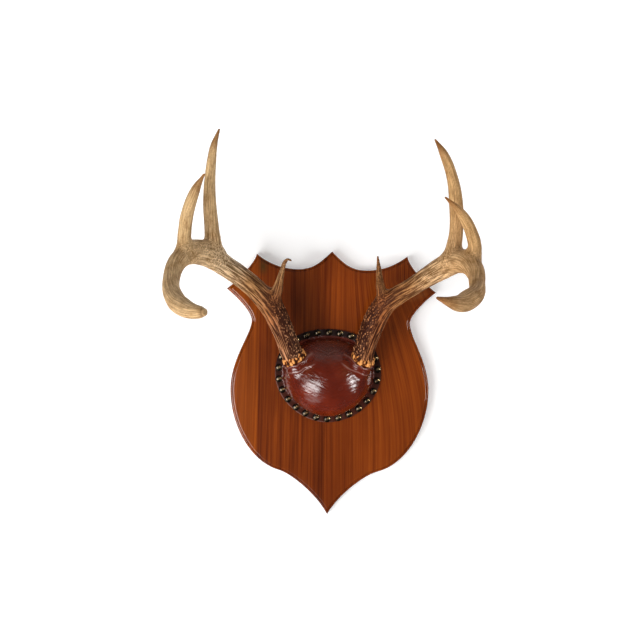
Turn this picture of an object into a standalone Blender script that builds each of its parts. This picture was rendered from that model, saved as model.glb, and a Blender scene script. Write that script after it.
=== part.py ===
"""Antler mounting plaque: a shield board, a leather skull cover tacked to it, and two antlers.

Metres, +Z up. The origin is the middle of the board's flat back, on its line of symmetry. The front
faces -Y, so +X is to the right of someone who looks at it.
"""

import math

import bmesh
import bpy
from mathutils import Matrix, Vector
from mathutils.geometry import interpolate_bezier

# Shield board
BOARD_HEIGHT = 0.355
BOARD_WIDTH = 0.2826
BOARD_THICKNESS = 0.019

# Moulding round the board's front edge: a round over, a quirk and a bead
ROUND_WIDTH = 0.0024
ROUND_DROP = 0.0040
QUIRK_WIDTH = 0.0006
QUIRK_DROP = 0.0008
BEAD_WIDTH = 0.0020
BEAD_DROP = 0.0012

# Leather skull cover
LEATHER = 0.0025
RING_CENTRE_X = -0.0025
RING_CENTRE_Z = 0.0127
RING_HALF_WIDTH = 0.0667
RING_RISE = 0.0554
RING_FALL = 0.0609
RING_TOP_POWER = 0.90
RING_FOOT_POWER = 1.05
RIM_MARGIN = 0.0045
DOME_MARGIN = 0.0060
DOME_HEIGHT = 0.0540
CREST_Z = -0.0020

# Seat of each antler: where its foot meets the leather collar
SEAT_OUT = 0.0441
SEAT_ABOVE_BOARD = 0.0310
SEAT_RISE = 0.0183
LEAN_OUT = math.radians(27.0)
LEAN_FORWARD = math.radians(25.0)
COLLAR_RADIUS = 0.0155
COLLAR_FLARE = 0.0055
COLLAR_LENGTH = 0.0340
PEDICLE_RADIUS = 0.0110
PEDICLE_LENGTH = 0.0120

# Antlers
BEAM_LENGTH = 0.4100
TIP_RADIUS = 0.0011
BURR_RADIUS = 0.0137
BURR_KNOBS = 15
# Each row of burr knobs: height above the seat, knob radius, and turn as a share of one knob
BURR_ROWS = ((0.0032, 0.0028, 0.0), (0.0070, 0.0022, 0.5))

# Tacks
TACK_COUNT = 26
TACK_HEAD_RADIUS = 0.00475
TACK_HEAD_HEIGHT = 0.0026
TACK_SHANK = 0.0016
TACK_LENGTH = 0.0120

# Clearance between two pieces that touch
GAP = 0.0003

# The right half of the shield, from the middle cusp down to the point at the foot. Each row is a knot,
# the handle before it and the handle after it, as shares of half the width and half the height.
SHIELD = (
    ((0.000, 1.000), None, (0.108, 0.914)),
    ((0.321, 0.861), (0.178, 0.861), (0.471, 0.861)),
    ((0.720, 0.974), (0.604, 0.898), (0.718, 0.908)),
    ((1.000, 0.702), (0.945, 0.726), (0.927, 0.660)),
    ((0.755, 0.463), (0.755, 0.534), (0.755, 0.359)),
    ((0.945, -0.054), (0.945, 0.175), (0.945, -0.321)),
    ((0.477, -0.666), (0.751, -0.606), (0.323, -0.701)),
    ((0.000, -1.000), (0.076, -0.877), None),
)
SHIELD_STEPS = (4, 4, 3, 4, 6, 8, 5)

# Antler branches. Each row is out, forward, up and radius, in hundredths of the beam's length,
# counted from the middle of the antler's seat.
LEFT_BRANCHES = {
    "beam": (
        (0.0, 0.0, 0.0, 3.4),
        (1.5, 1.7, 3.2, 3.4),
        (3.0, 3.4, 7.1, 3.3),
        (5.0, 5.4, 11.9, 3.5),
        (7.9, 7.3, 17.2, 3.7),
        (12.0, 9.8, 21.7, 3.3),
        (16.7, 12.9, 25.7, 3.2),
        (21.5, 16.8, 29.0, 3.3),
        (26.6, 21.2, 31.8, 3.4),
        (30.8, 25.6, 32.8, 3.5),
        (34.3, 30.2, 31.3, 3.0),
        (36.5, 39.8, 24.1, 2.5),
        (34.0, 50.2, 17.9, 2.8),
        (31.2, 55.1, 15.9, 2.7),
        (28.2, 59.0, 14.8, 2.2),
        (25.8, 61.2, 14.6, 1.7),
        (24.4, 62.2, 14.6, 1.0),
    ),
    "brow_tine": (
        (7.6, 7.8, 18.8, 2.7),
        (6.5, 9.3, 21.0, 2.1),
        (5.5, 10.7, 23.9, 1.4),
        (4.8, 11.8, 26.9, 0.9),
        (4.2, 12.9, 29.2, 0.7),
        (3.6, 14.1, 30.9, 0.6),
        (2.7, 15.1, 31.8, 0.4),
        (1.5, 16.0, 31.4, 0.3),
    ),
    "tall_tine": (
        (26.0, 20.7, 32.2, 3.5),
        (25.7, 21.5, 35.6, 2.8),
        (26.0, 22.4, 39.5, 2.3),
        (26.8, 24.9, 50.4, 1.9),
        (26.2, 26.8, 61.2, 1.4),
        (25.5, 27.6, 65.7, 1.0),
        (23.9, 28.3, 70.6, 0.3),
    ),
    "outer_tine": (
        (33.3, 28.8, 31.1, 3.1),
        (33.7, 30.2, 35.9, 2.3),
        (33.5, 31.7, 39.4, 2.0),
        (32.7, 33.4, 44.1, 1.9),
        (30.2, 35.6, 51.2, 1.4),
        (27.5, 37.0, 56.0, 0.3),
    ),
    "web": (
        (23.2, 18.9, 32.0, 2.7),
        (25.9, 21.4, 33.4, 2.7),
        (29.9, 25.6, 34.5, 2.5),
        (33.4, 29.6, 33.8, 2.4),
    ),
}
RIGHT_BRANCHES = {
    "beam": (
        (0.0, 0.0, 0.0, 3.4),
        (0.6, 1.7, 3.6, 3.4),
        (1.7, 3.4, 7.5, 3.4),
        (3.5, 5.6, 12.7, 3.6),
        (6.2, 7.8, 17.7, 3.5),
        (10.1, 10.2, 21.0, 3.0),
        (14.6, 13.2, 23.8, 2.8),
        (19.0, 16.8, 26.8, 3.1),
        (23.3, 21.0, 29.6, 3.5),
        (27.5, 25.6, 31.8, 3.7),
        (30.7, 30.5, 31.1, 3.4),
        (32.5, 35.4, 28.1, 2.8),
        (32.5, 40.2, 24.8, 2.4),
        (31.7, 45.6, 21.8, 2.6),
        (29.1, 50.7, 19.8, 3.0),
        (26.2, 55.6, 18.6, 2.5),
        (23.4, 59.0, 18.8, 1.7),
        (18.9, 62.2, 19.9, 0.4),
    ),
    "brow_tine": (
        (6.5, 8.3, 19.1, 2.7),
        (5.7, 9.5, 21.9, 1.8),
        (5.0, 10.7, 25.0, 1.2),
        (4.6, 11.7, 28.2, 0.9),
        (4.0, 13.2, 33.5, 0.3),
    ),
    "tall_tine": (
        (26.4, 24.4, 31.6, 3.4),
        (26.8, 25.1, 36.1, 2.5),
        (27.3, 25.9, 40.7, 2.1),
        (26.9, 27.6, 49.7, 2.1),
        (25.6, 28.5, 56.9, 1.7),
        (22.8, 29.5, 64.0, 1.3),
        (19.9, 30.2, 68.5, 0.3),
    ),
    "outer_tine": (
        (31.9, 29.8, 31.5, 2.9),
        (32.5, 31.2, 35.9, 2.1),
        (31.7, 32.4, 39.2, 1.9),
        (28.0, 34.9, 45.7, 1.4),
        (22.8, 37.1, 50.4, 0.3),
    ),
}

# Mesh fineness
ANTLER_VOXEL = 0.0011
ANTLER_SMOOTHING = 5
ANTLER_KEEP = 0.021
COVER_VOXEL = 0.0022
COVER_SMOOTHING = 6
COVER_KEEP = 0.05
RIM_SIDES = 52
RING_SAMPLES = 720
DOME_LEVELS = 9
COLLAR_SIDES = 32
PEDICLE_SIDES = 20
TACK_SIDES = 8
TACK_BANDS = 3
ROUND_STEPS = 3
BEAD_STEPS = 2

FRONT_Y = -BOARD_THICKNESS
LEATHER_BACK_Y = FRONT_Y - GAP
LEATHER_FRONT_Y = LEATHER_BACK_Y - LEATHER
SOCKET_RADIUS = PEDICLE_RADIUS + GAP
TACK_HOLE = TACK_SHANK + 2 * GAP


def clear_scene():
    for obj in list(bpy.data.objects):
        bpy.data.objects.remove(obj, do_unlink=True)


def new_collection(name, parent=None):
    made = bpy.data.collections.new(name)
    (parent or bpy.context.scene.collection).children.link(made)
    return made


def finish(name, colour, roughness, metallic=0.0):
    made = bpy.data.materials.new(name)
    made.use_nodes = True
    shader = made.node_tree.nodes["Principled BSDF"]
    shader.inputs["Base Color"].default_value = (*colour, 1.0)
    shader.inputs["Roughness"].default_value = roughness
    shader.inputs["Metallic"].default_value = metallic
    return made


def mesh_of(shape, name):
    """The bmesh as a mesh with its faces pointing out."""
    bmesh.ops.recalc_face_normals(shape, faces=shape.faces)
    made = bpy.data.meshes.new(name)
    shape.to_mesh(made)
    shape.free()
    return made


def place(name, mesh, collection, location=(0, 0, 0), material=None):
    made = bpy.data.objects.new(name, mesh)
    made.location = location
    if material:
        mesh.materials.clear()
        mesh.materials.append(material)
    collection.objects.link(made)
    return made


def helper(name, mesh, collection, location=(0, 0, 0)):
    """A cutter or a piece to be joined to another, which is no part of the object by itself."""
    made = place(name, mesh, collection, location)
    made.hide_render = True
    made.display_type = "WIRE"
    return made


def boolean(obj, operation, other):
    step = obj.modifiers.new(operation.lower(), "BOOLEAN")
    step.operation = operation
    step.solver = "EXACT"
    if isinstance(other, bpy.types.Collection):
        step.operand_type = "COLLECTION"
        step.collection = other
    else:
        step.object = other


def skin(obj, voxel, smoothing, keep):
    """Melts overlapping closed shells into one body with soft joins, then thins its mesh."""
    remesh = obj.modifiers.new("one skin", "REMESH")
    remesh.mode = "VOXEL"
    remesh.voxel_size = voxel
    soften = obj.modifiers.new("soften", "SMOOTH")
    soften.factor = 0.5
    soften.iterations = smoothing
    thin = obj.modifiers.new("thin", "DECIMATE")
    thin.ratio = keep


def rod(shape, start, end, radius, sides, end_radius=None):
    """Adds a closed round rod, or a cone, from start to end."""
    run = end - start
    turn = run.to_track_quat("Z", "Y").to_matrix().to_4x4()
    bmesh.ops.create_cone(
        shape,
        cap_ends=True,
        segments=sides,
        radius1=radius,
        radius2=radius if end_radius is None else end_radius,
        depth=run.length,
        matrix=Matrix.Translation((start + end) / 2) @ turn,
    )


def block(shape, low, high):
    """Adds a box between two corners."""
    low, high = Vector(low), Vector(high)
    size = Matrix.Diagonal((*(high - low), 1.0))
    bmesh.ops.create_cube(shape, size=1.0, matrix=Matrix.Translation((low + high) / 2) @ size)


def shield_outline():
    """Corner points of the shield, clockwise from the middle cusp, as seen from the front."""
    half = []
    for start, end, steps in zip(SHIELD, SHIELD[1:], SHIELD_STEPS):
        corners = [Vector(corner) for corner in (start[0], start[2], end[1], end[0])]
        half += interpolate_bezier(*corners, steps + 1)[:-1]
    half.append(Vector(SHIELD[-1][0]))
    right = [(x * BOARD_WIDTH / 2, z * BOARD_HEIGHT / 2) for x, z in half]
    left = [(-x, z) for x, z in reversed(right[1:-1])]
    return right + left


def quarter_round(width, height, steps):
    """Each step of a quarter round: how far inward, and how far up."""
    made = []
    for step in range(steps):
        low = math.pi / 2 * step / steps
        high = math.pi / 2 * (step + 1) / steps
        inward = width * (math.cos(low) - math.cos(high))
        made.append((inward, height * (math.sin(high) - math.sin(low))))
    return made


def moulding_steps():
    """The moulding from the edge inward: a round over, a quirk, and a bead up to the face."""
    round_over = quarter_round(ROUND_WIDTH, ROUND_DROP, ROUND_STEPS)
    bead = quarter_round(BEAD_WIDTH, QUIRK_DROP + BEAD_DROP, BEAD_STEPS)
    return [*round_over, (QUIRK_WIDTH, -QUIRK_DROP), *bead]


def make_board(collection, holes, material):
    shape = bmesh.new()
    rim = [shape.verts.new((x, 0.0, z)) for x, z in shield_outline()]
    back = shape.faces.new(rim)
    grown = bmesh.ops.extrude_face_region(shape, geom=[back])["geom"]
    front = next(item for item in grown if isinstance(item, bmesh.types.BMFace))
    side = BOARD_THICKNESS - ROUND_DROP - BEAD_DROP
    bmesh.ops.translate(shape, vec=(0.0, -side, 0.0), verts=front.verts)
    bmesh.ops.recalc_face_normals(shape, faces=shape.faces)
    for inward, rise in moulding_steps():
        bmesh.ops.inset_region(
            shape, faces=[front], thickness=inward, depth=rise, use_even_offset=True
        )
    board = place("shield_plaque", mesh_of(shape, "shield_plaque"), collection, material=material)
    boolean(board, "DIFFERENCE", holes)


def ring_point(turn, margin=0.0):
    """A point of the tack ring at this turn, counted clockwise from the foot, seen from the front."""
    across, up = -math.sin(turn), -math.cos(turn)
    reach = (RING_RISE if up > 0 else RING_FALL) + margin
    power = RING_TOP_POWER if up > 0 else RING_FOOT_POWER
    x = (RING_HALF_WIDTH + margin) * math.copysign(abs(across) ** power, across)
    z = reach * math.copysign(abs(up) ** power, up)
    return Vector((x, z))


def even_ring(count, margin=0.0):
    """Points at even distances along the ring, the first at its foot."""
    turns = [2 * math.pi * step / RING_SAMPLES for step in range(RING_SAMPLES + 1)]
    fine = [ring_point(turn, margin) for turn in turns]
    run = [0.0]
    for start, end in zip(fine, fine[1:]):
        run.append(run[-1] + (end - start).length)
    points = []
    here = 0
    for number in range(count):
        wanted = run[-1] * number / count
        while run[here + 1] < wanted:
            here += 1
        share = (wanted - run[here]) / (run[here + 1] - run[here])
        points.append(fine[here].lerp(fine[here + 1], share))
    return points


def ring_in_world(point, y):
    return Vector((RING_CENTRE_X + point.x, y, RING_CENTRE_Z + point.y))


def seat(side):
    """The middle of an antler's seat. Side is -1 on the left and 1 on the right."""
    return Vector(
        (
            RING_CENTRE_X + side * SEAT_OUT,
            FRONT_Y - SEAT_ABOVE_BOARD,
            RING_CENTRE_Z + SEAT_RISE,
        )
    )


def seat_axis(side):
    """The way that the antler leaves its seat."""
    axis = Vector((side * math.tan(LEAN_OUT), -math.tan(LEAN_FORWARD), 1.0))
    return axis.normalized()


def add_dome(shape):
    """Adds the leather's dome: rings that rise from its foot to its crest, closed at both ends."""
    foot = even_ring(RIM_SIDES, -DOME_MARGIN)
    rings = [[shape.verts.new(ring_in_world(point, FRONT_Y + LEATHER)) for point in foot]]
    for level in range(DOME_LEVELS):
        climb = math.sin(math.pi / 2 * level / DOME_LEVELS)
        width = math.cos(math.pi / 2 * level / DOME_LEVELS)
        shift = Vector((0.0, -DOME_HEIGHT * climb, (CREST_Z - RING_CENTRE_Z) * climb))
        ring = [ring_in_world(point * width, FRONT_Y) + shift for point in foot]
        rings.append([shape.verts.new(spot) for spot in ring])
    shape.faces.new(rings[0])
    shape.faces.new(rings[-1])
    for low, high in zip(rings, rings[1:]):
        for spot in range(RIM_SIDES):
            after = (spot + 1) % RIM_SIDES
            shape.faces.new((low[spot], low[after], high[after], high[spot]))


def make_cover(collection, helpers, holes, seats, material):
    shape = bmesh.new()
    add_dome(shape)
    for side in (-1, 1):
        foot = seat(side) - seat_axis(side) * COLLAR_LENGTH
        top = seat(side) + seat_axis(side) * COLLAR_RADIUS / 4
        rod(shape, foot, top, COLLAR_RADIUS + COLLAR_FLARE, COLLAR_SIDES, COLLAR_RADIUS)
    name = "leather_skull_cover"
    cover = place(name, mesh_of(shape, name), collection, material=material)
    skin(cover, COVER_VOXEL, COVER_SMOOTHING, COVER_KEEP)

    rim = bmesh.new()
    edge = [ring_in_world(point, LEATHER_FRONT_Y) for point in even_ring(RIM_SIDES, RIM_MARGIN)]
    face = rim.faces.new([rim.verts.new(spot) for spot in edge])
    grown = bmesh.ops.extrude_face_region(rim, geom=[face])["geom"]
    behind = [item for item in grown if isinstance(item, bmesh.types.BMVert)]
    bmesh.ops.translate(rim, vec=(0.0, 2 * LEATHER, 0.0), verts=behind)
    boolean(cover, "UNION", helper("rim_to_join", mesh_of(rim, "rim_to_join"), helpers))

    behind_board = bmesh.new()
    reach = 2 * RING_HALF_WIDTH
    block(behind_board, (-reach, LEATHER_BACK_Y, -reach), (reach, reach, reach))
    cutter = helper("behind_leather", mesh_of(behind_board, "behind_leather"), helpers)
    boolean(cover, "DIFFERENCE", cutter)
    boolean(cover, "DIFFERENCE", holes)
    boolean(cover, "DIFFERENCE", seats)


def make_seat_cutters(collection):
    """The flat on which each burr rests, and the socket that holds the stub under it."""
    for side in (-1, 1):
        name = "left" if side < 0 else "right"
        flat = bmesh.new()
        top = seat(side) + seat_axis(side) * 2 * COLLAR_RADIUS
        rod(flat, seat(side), top, COLLAR_RADIUS + LEATHER, COLLAR_SIDES)
        helper("seat_flat_" + name, mesh_of(flat, "seat_flat"), collection)
        bore = bmesh.new()
        foot = seat(side) - seat_axis(side) * (PEDICLE_LENGTH + GAP)
        mouth = seat(side) + seat_axis(side) * PEDICLE_LENGTH
        rod(bore, foot, mouth, SOCKET_RADIUS, PEDICLE_SIDES)
        helper("seat_bore_" + name, mesh_of(bore, "seat_bore"), collection)


def branch_shells(branches, side):
    """The branches as closed tubes that run into each other, in one bmesh."""
    curve = bpy.data.curves.new("branches", "CURVE")
    curve.dimensions = "3D"
    curve.bevel_depth = 1.0
    curve.bevel_resolution = 5
    curve.resolution_u = 6
    curve.use_fill_caps = True
    share = BEAM_LENGTH / 100
    for rows in branches.values():
        spline = curve.splines.new("BEZIER")
        spline.radius_interpolation = "CARDINAL"
        spline.bezier_points.add(len(rows) - 1)
        for point, (out, forward, up, radius) in zip(spline.bezier_points, rows):
            point.co = Vector((side * out, -forward, up)) * share
            point.radius = max(radius * share, TIP_RADIUS)
            point.handle_left_type = "AUTO"
            point.handle_right_type = "AUTO"
    guide = bpy.data.objects.new("branches", curve)
    bpy.context.scene.collection.objects.link(guide)
    graph = bpy.context.evaluated_depsgraph_get()
    tubes = bpy.data.meshes.new_from_object(guide.evaluated_get(graph))
    shape = bmesh.new()
    shape.from_mesh(tubes)
    bmesh.ops.remove_doubles(shape, verts=shape.verts, dist=GAP / 10)
    bpy.data.objects.remove(guide, do_unlink=True)
    return shape


def add_burr(shape, axis):
    """Adds the crown of knobs round the antler's foot, in two rows."""
    turn = axis.to_track_quat("Z", "Y").to_matrix().to_4x4()
    for lift, knob, offset in BURR_ROWS:
        for number in range(BURR_KNOBS):
            angle = 2 * math.pi * (number + offset) / BURR_KNOBS
            spot = Vector((math.cos(angle) * BURR_RADIUS, math.sin(angle) * BURR_RADIUS, lift))
            bmesh.ops.create_icosphere(
                shape, subdivisions=2, radius=knob, matrix=turn @ Matrix.Translation(spot)
            )


def make_antler(name, branches, side, collection, helpers, material):
    axis = seat_axis(side)
    shape = branch_shells(branches, side)
    add_burr(shape, axis)
    antler = place(name, mesh_of(shape, name), collection, seat(side), material)
    skin(antler, ANTLER_VOXEL, ANTLER_SMOOTHING, ANTLER_KEEP)

    below = bmesh.new()
    reach = 2 * COLLAR_RADIUS
    rod(below, axis * -reach, axis * GAP, reach, COLLAR_SIDES)
    boolean(antler, "DIFFERENCE", helper(name + "_below", mesh_of(below, name), helpers, seat(side)))
    stub = bmesh.new()
    rod(stub, axis * -PEDICLE_LENGTH, axis * PEDICLE_LENGTH / 2, PEDICLE_RADIUS, PEDICLE_SIDES)
    boolean(antler, "UNION", helper(name + "_stub", mesh_of(stub, name), helpers, seat(side)))


def tack_mesh(helpers):
    """One tack, its head's underside at the origin and its point towards +Y."""
    head = bmesh.new()
    squash = Matrix.Diagonal((TACK_HEAD_RADIUS, TACK_HEAD_HEIGHT, TACK_HEAD_RADIUS, 1.0))
    bmesh.ops.create_uvsphere(
        head,
        u_segments=TACK_SIDES,
        v_segments=2 * TACK_BANDS,
        radius=1.0,
        matrix=squash @ Matrix.Rotation(math.pi / 2, 4, "X"),
    )
    lower_half = [vert for vert in head.verts if vert.co.y > GAP / 10]
    bmesh.ops.delete(head, geom=lower_half, context="VERTS")
    bmesh.ops.holes_fill(head, edges=[edge for edge in head.edges if edge.is_boundary], sides=0)
    solid = place("tack_head", mesh_of(head, "tack"), helpers)

    shank = bmesh.new()
    half = TACK_SHANK / 2
    block(shank, (-half, -TACK_HEAD_HEIGHT / 2, -half), (half, TACK_LENGTH, half))
    boolean(solid, "UNION", helper("tack_shank", mesh_of(shank, "tack_shank"), helpers))
    graph = bpy.context.evaluated_depsgraph_get()
    made = bpy.data.meshes.new_from_object(solid.evaluated_get(graph))
    for obj in (solid, bpy.data.objects["tack_shank"]):
        bpy.data.objects.remove(obj, do_unlink=True)
    return made


def make_tack_holes(collection):
    for number, point in enumerate(even_ring(TACK_COUNT)):
        hole = bmesh.new()
        half = TACK_HOLE / 2
        block(hole, (-half, -LEATHER, -half), (half, TACK_LENGTH + GAP, half))
        spot = ring_in_world(point, LEATHER_FRONT_Y - GAP)
        helper(f"tack_hole_{number + 1:02d}", mesh_of(hole, "tack_hole"), collection, spot)


def make_tacks(collection, helpers, material):
    mesh = tack_mesh(helpers)
    for number, point in enumerate(even_ring(TACK_COUNT)):
        spot = ring_in_world(point, LEATHER_FRONT_Y - GAP)
        place(f"tack_{number + 1:02d}", mesh, collection, spot, material)


def main():
    clear_scene()
    plaque = new_collection("antler_mounting_plaque")
    helpers = new_collection("helpers")
    holes = new_collection("tack_holes", helpers)
    seats = new_collection("seat_cutters", helpers)
    wood = finish("wood", (0.20, 0.055, 0.018), 0.30)
    leather = finish("leather", (0.13, 0.025, 0.012), 0.32)
    antler = finish("antler", (0.36, 0.23, 0.12), 0.55)
    bronze = finish("bronze", (0.10, 0.07, 0.05), 0.35, 0.9)
    make_tack_holes(holes)
    make_seat_cutters(seats)
    make_board(plaque, holes, wood)
    make_cover(plaque, helpers, holes, seats, leather)
    make_antler("antler_left", LEFT_BRANCHES, -1, plaque, helpers, antler)
    make_antler("antler_right", RIGHT_BRANCHES, 1, plaque, helpers, antler)
    make_tacks(plaque, helpers, bronze)


main()
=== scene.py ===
"""Looks of the antler mounting plaque: its board, leather skull cover, tacks and two antlers.

Metres, +Z up. The origin is the middle of the board's flat back, and the front faces -Y.
"""

import math
import random

import bmesh
import bpy
import numpy as np
from mathutils import Matrix, Vector, noise
from mathutils.geometry import interpolate_bezier, intersect_line_line_2d

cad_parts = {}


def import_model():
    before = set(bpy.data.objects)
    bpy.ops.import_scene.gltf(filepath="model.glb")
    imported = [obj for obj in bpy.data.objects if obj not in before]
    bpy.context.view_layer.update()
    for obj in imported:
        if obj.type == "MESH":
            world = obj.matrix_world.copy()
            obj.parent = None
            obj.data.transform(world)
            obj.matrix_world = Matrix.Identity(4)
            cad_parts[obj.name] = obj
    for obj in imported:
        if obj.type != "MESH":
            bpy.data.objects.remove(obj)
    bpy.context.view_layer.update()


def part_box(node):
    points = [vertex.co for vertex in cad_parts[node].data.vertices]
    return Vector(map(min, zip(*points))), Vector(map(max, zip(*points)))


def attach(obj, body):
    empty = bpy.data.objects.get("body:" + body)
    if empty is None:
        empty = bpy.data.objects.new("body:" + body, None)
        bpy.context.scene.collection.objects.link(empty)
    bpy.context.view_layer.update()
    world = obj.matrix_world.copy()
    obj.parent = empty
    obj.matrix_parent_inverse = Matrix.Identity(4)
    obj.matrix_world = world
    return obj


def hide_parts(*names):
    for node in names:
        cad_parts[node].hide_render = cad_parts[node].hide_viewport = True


# Camera, where the photograph was taken from
CAMERA_AT = (-0.0147, -2.0, 0.0845)
CAMERA_ROLL = math.radians(1.14)
CAMERA_LENS = 82.82
CAMERA_SENSOR = 36.0

# Stage
STAGE_HALF_WIDTH = 2.6
FLOOR_Z = -1.45
FLOOR_REACH = 3.4
WALL_Y = 0.0006
WALL_TOP = 2.4

# Softboxes. Each row is where it stands, what it faces, its width, its height, its power in watts
# and whether the plaque mirrors it.
SOFTBOXES = {
    "left_softbox": ((-0.98, -1.38, -0.28), (0.0, 0.0, 0.0), 1.22, 0.8, 22.0, True),
    "right_softbox": ((1.45, -0.95, 0.08), (0.0, 0.0, 0.0), 0.24, 0.6, 8.0, True),
    "low_softbox": ((-0.85, -0.75, -1.15), (0.0, 0.0, 0.0), 1.2, 0.8, 11.5, False),
    "edge_strip": ((-0.8, -0.6, -1.05), (0.0, 0.0, 0.0), 1.0, 0.3, 1.3, True),
    "ceiling_softbox": ((0.0, -0.35, 1.6), (0.0, -0.35, 0.0), 1.6, 0.6, 0.5, True),
    "back_light": ((0.5, 1.8, 1.0), (0.0, 0.0, 0.0), 1.4, 1.4, 12.0, True),
    "high_fill": ((0.5, -2.8, 1.2), (0.0, 0.0, 0.05), 1.8, 1.8, 17.0, False),
}

# Shield board: the moulding round its front edge
BOARD_THICKNESS = 0.019
ROUND_WIDTH = 0.0024
ROUND_DROP = 0.004
QUIRK_WIDTH = 0.0006
QUIRK_DROP = 0.0008
BEAD_WIDTH = 0.002
BEAD_DROP = 0.0012
SHARP_ANGLE = math.radians(38)

# The panel is four boards side by side: half its width, and its seams as shares of the width
HALF_PANEL = 0.1413
LEFT_SEAM = 0.158
MIDDLE_SEAM = 0.4816
RIGHT_SEAM = 0.655
SEAM_WIDTH = 0.0006
SHADED_WIDTH = 0.0258

# Leather skull cover
LEATHER = 0.0025
RING_CENTRE_X = -0.0025
RING_CENTRE_Z = 0.0127
RING_HALF_WIDTH = 0.0667
RING_RISE = 0.0554
RING_FALL = 0.0609
RING_TOP_POWER = 0.9
RING_FOOT_POWER = 1.05
RIM_MARGIN = 0.0045
DOME_MARGIN = 0.006
DOME_HEIGHT = 0.054
CREST_Z = -0.002
DOME_SIDES = 120
DOME_LEVELS = 26
DOME_VOXEL = 0.0013
DOME_SMOOTHING = 18
RIM_SIDES = 240
COVER_VOXEL = 0.0008
COVER_SMOOTHING = 3
RING_SAMPLES = 360

# Seat of each antler
SEAT_OUT = 0.0441
SEAT_ABOVE_BOARD = 0.031
SEAT_RISE = 0.0183
LEAN_OUT = math.radians(27.0)
LEAN_FORWARD = math.radians(25.0)
COLLAR_RADIUS = 0.0155
COLLAR_FLARE = 0.0055
COLLAR_LENGTH = 0.034
COLLAR_SIDES = 64

# Rings drawn round each collar. Each row is how strong it is, how far up from the seat, its width
# and how far from the collar's axis it fades.
COLLAR_RINGS = (
    (0.0011, -0.0016, 0.0012, 0.022),
    (-0.0005, -0.0044, 0.0012, 0.022),
    (0.0006, -0.0098, 0.0009, 0.024),
    (-0.0004, -0.0122, 0.001, 0.024),
)
# Pale lines painted round each collar: a worn crease lower down, and a painted highlight along the
# collar's top edge. Each row is how strongly it shows, how far up from the seat, its width and how
# far from the collar's axis it fades.
COLLAR_WEAR_AND_HIGHLIGHT = ((1.0, -0.0098, 0.0006, 0.024), (0.5, -0.0016, 0.0009, 0.022))

# Antlers
BEAM_LENGTH = 0.41
TIP_RADIUS = 0.0011
BURR_RADIUS = 0.0137

# Tacks
TACK_COUNT = 26
TACK_HEAD_RADIUS = 0.00475
TACK_HEAD_HEIGHT = 0.0026

GAP = 0.0003
FRONT_Y = -BOARD_THICKNESS
LEATHER_BACK_Y = FRONT_Y - GAP
LEATHER_FRONT_Y = LEATHER_BACK_Y - LEATHER

# The right half of the shield. Each row is a knot, the handle before it and the handle after it, as
# shares of half the width and half the height, and whether the outline turns a corner there.
SHIELD = (
    ((0.000, 1.000), None, (0.108, 0.914), True),
    ((0.321, 0.861), (0.178, 0.861), (0.471, 0.861), False),
    ((0.720, 0.974), (0.604, 0.898), (0.718, 0.908), True),
    ((1.000, 0.702), (0.945, 0.726), (0.927, 0.660), True),
    ((0.755, 0.463), (0.755, 0.534), (0.755, 0.359), False),
    ((0.945, -0.054), (0.945, 0.175), (0.945, -0.321), False),
    ((0.477, -0.666), (0.751, -0.606), (0.323, -0.701), False),
    ((0.000, -1.000), (0.076, -0.877), None, True),
)
OUTLINE_STEP = 0.0016

# Antler branches. Each row is out, forward, up and radius, in hundredths of the beam's length,
# counted from the middle of the antler's seat.
LEFT_BRANCHES = {
    "beam": (
        (0.0, 0.0, 0.0, 3.4),
        (1.5, 1.7, 3.2, 3.4),
        (3.0, 3.4, 7.1, 3.3),
        (5.0, 5.4, 11.9, 3.5),
        (7.9, 7.3, 17.2, 3.7),
        (12.0, 9.8, 21.7, 3.3),
        (16.7, 12.9, 25.7, 3.2),
        (21.5, 16.8, 29.0, 3.3),
        (26.6, 21.2, 31.8, 3.4),
        (30.8, 25.6, 32.8, 3.5),
        (34.3, 30.2, 31.3, 3.0),
        (36.5, 39.8, 24.1, 2.5),
        (34.0, 50.2, 17.9, 2.8),
        (31.2, 55.1, 15.9, 2.7),
        (28.2, 59.0, 14.8, 2.2),
        (25.8, 61.2, 14.6, 1.7),
        (24.4, 62.2, 14.6, 1.0),
    ),
    "brow_tine": (
        (7.6, 7.8, 18.8, 2.7),
        (6.5, 9.3, 21.0, 2.1),
        (5.5, 10.7, 23.9, 1.4),
        (4.8, 11.8, 26.9, 0.9),
        (4.2, 12.9, 29.2, 0.7),
        (3.6, 14.1, 30.9, 0.6),
        (2.7, 15.1, 31.8, 0.4),
        (1.5, 16.0, 31.4, 0.3),
    ),
    "tall_tine": (
        (26.0, 20.7, 32.2, 3.5),
        (25.7, 21.5, 35.6, 2.8),
        (26.0, 22.4, 39.5, 2.3),
        (26.8, 24.9, 50.4, 1.9),
        (26.2, 26.8, 61.2, 1.4),
        (25.5, 27.6, 65.7, 1.0),
        (23.9, 28.3, 70.6, 0.3),
    ),
    "outer_tine": (
        (33.3, 28.8, 31.1, 3.1),
        (33.7, 30.2, 35.9, 2.3),
        (33.5, 31.7, 39.4, 2.0),
        (32.7, 33.4, 44.1, 1.9),
        (30.2, 35.6, 51.2, 1.4),
        (27.5, 37.0, 56.0, 0.3),
    ),
    "web": (
        (23.2, 18.9, 32.0, 2.7),
        (25.9, 21.4, 33.4, 2.7),
        (29.9, 25.6, 34.5, 2.5),
        (33.4, 29.6, 33.8, 2.4),
    ),
}
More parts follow.
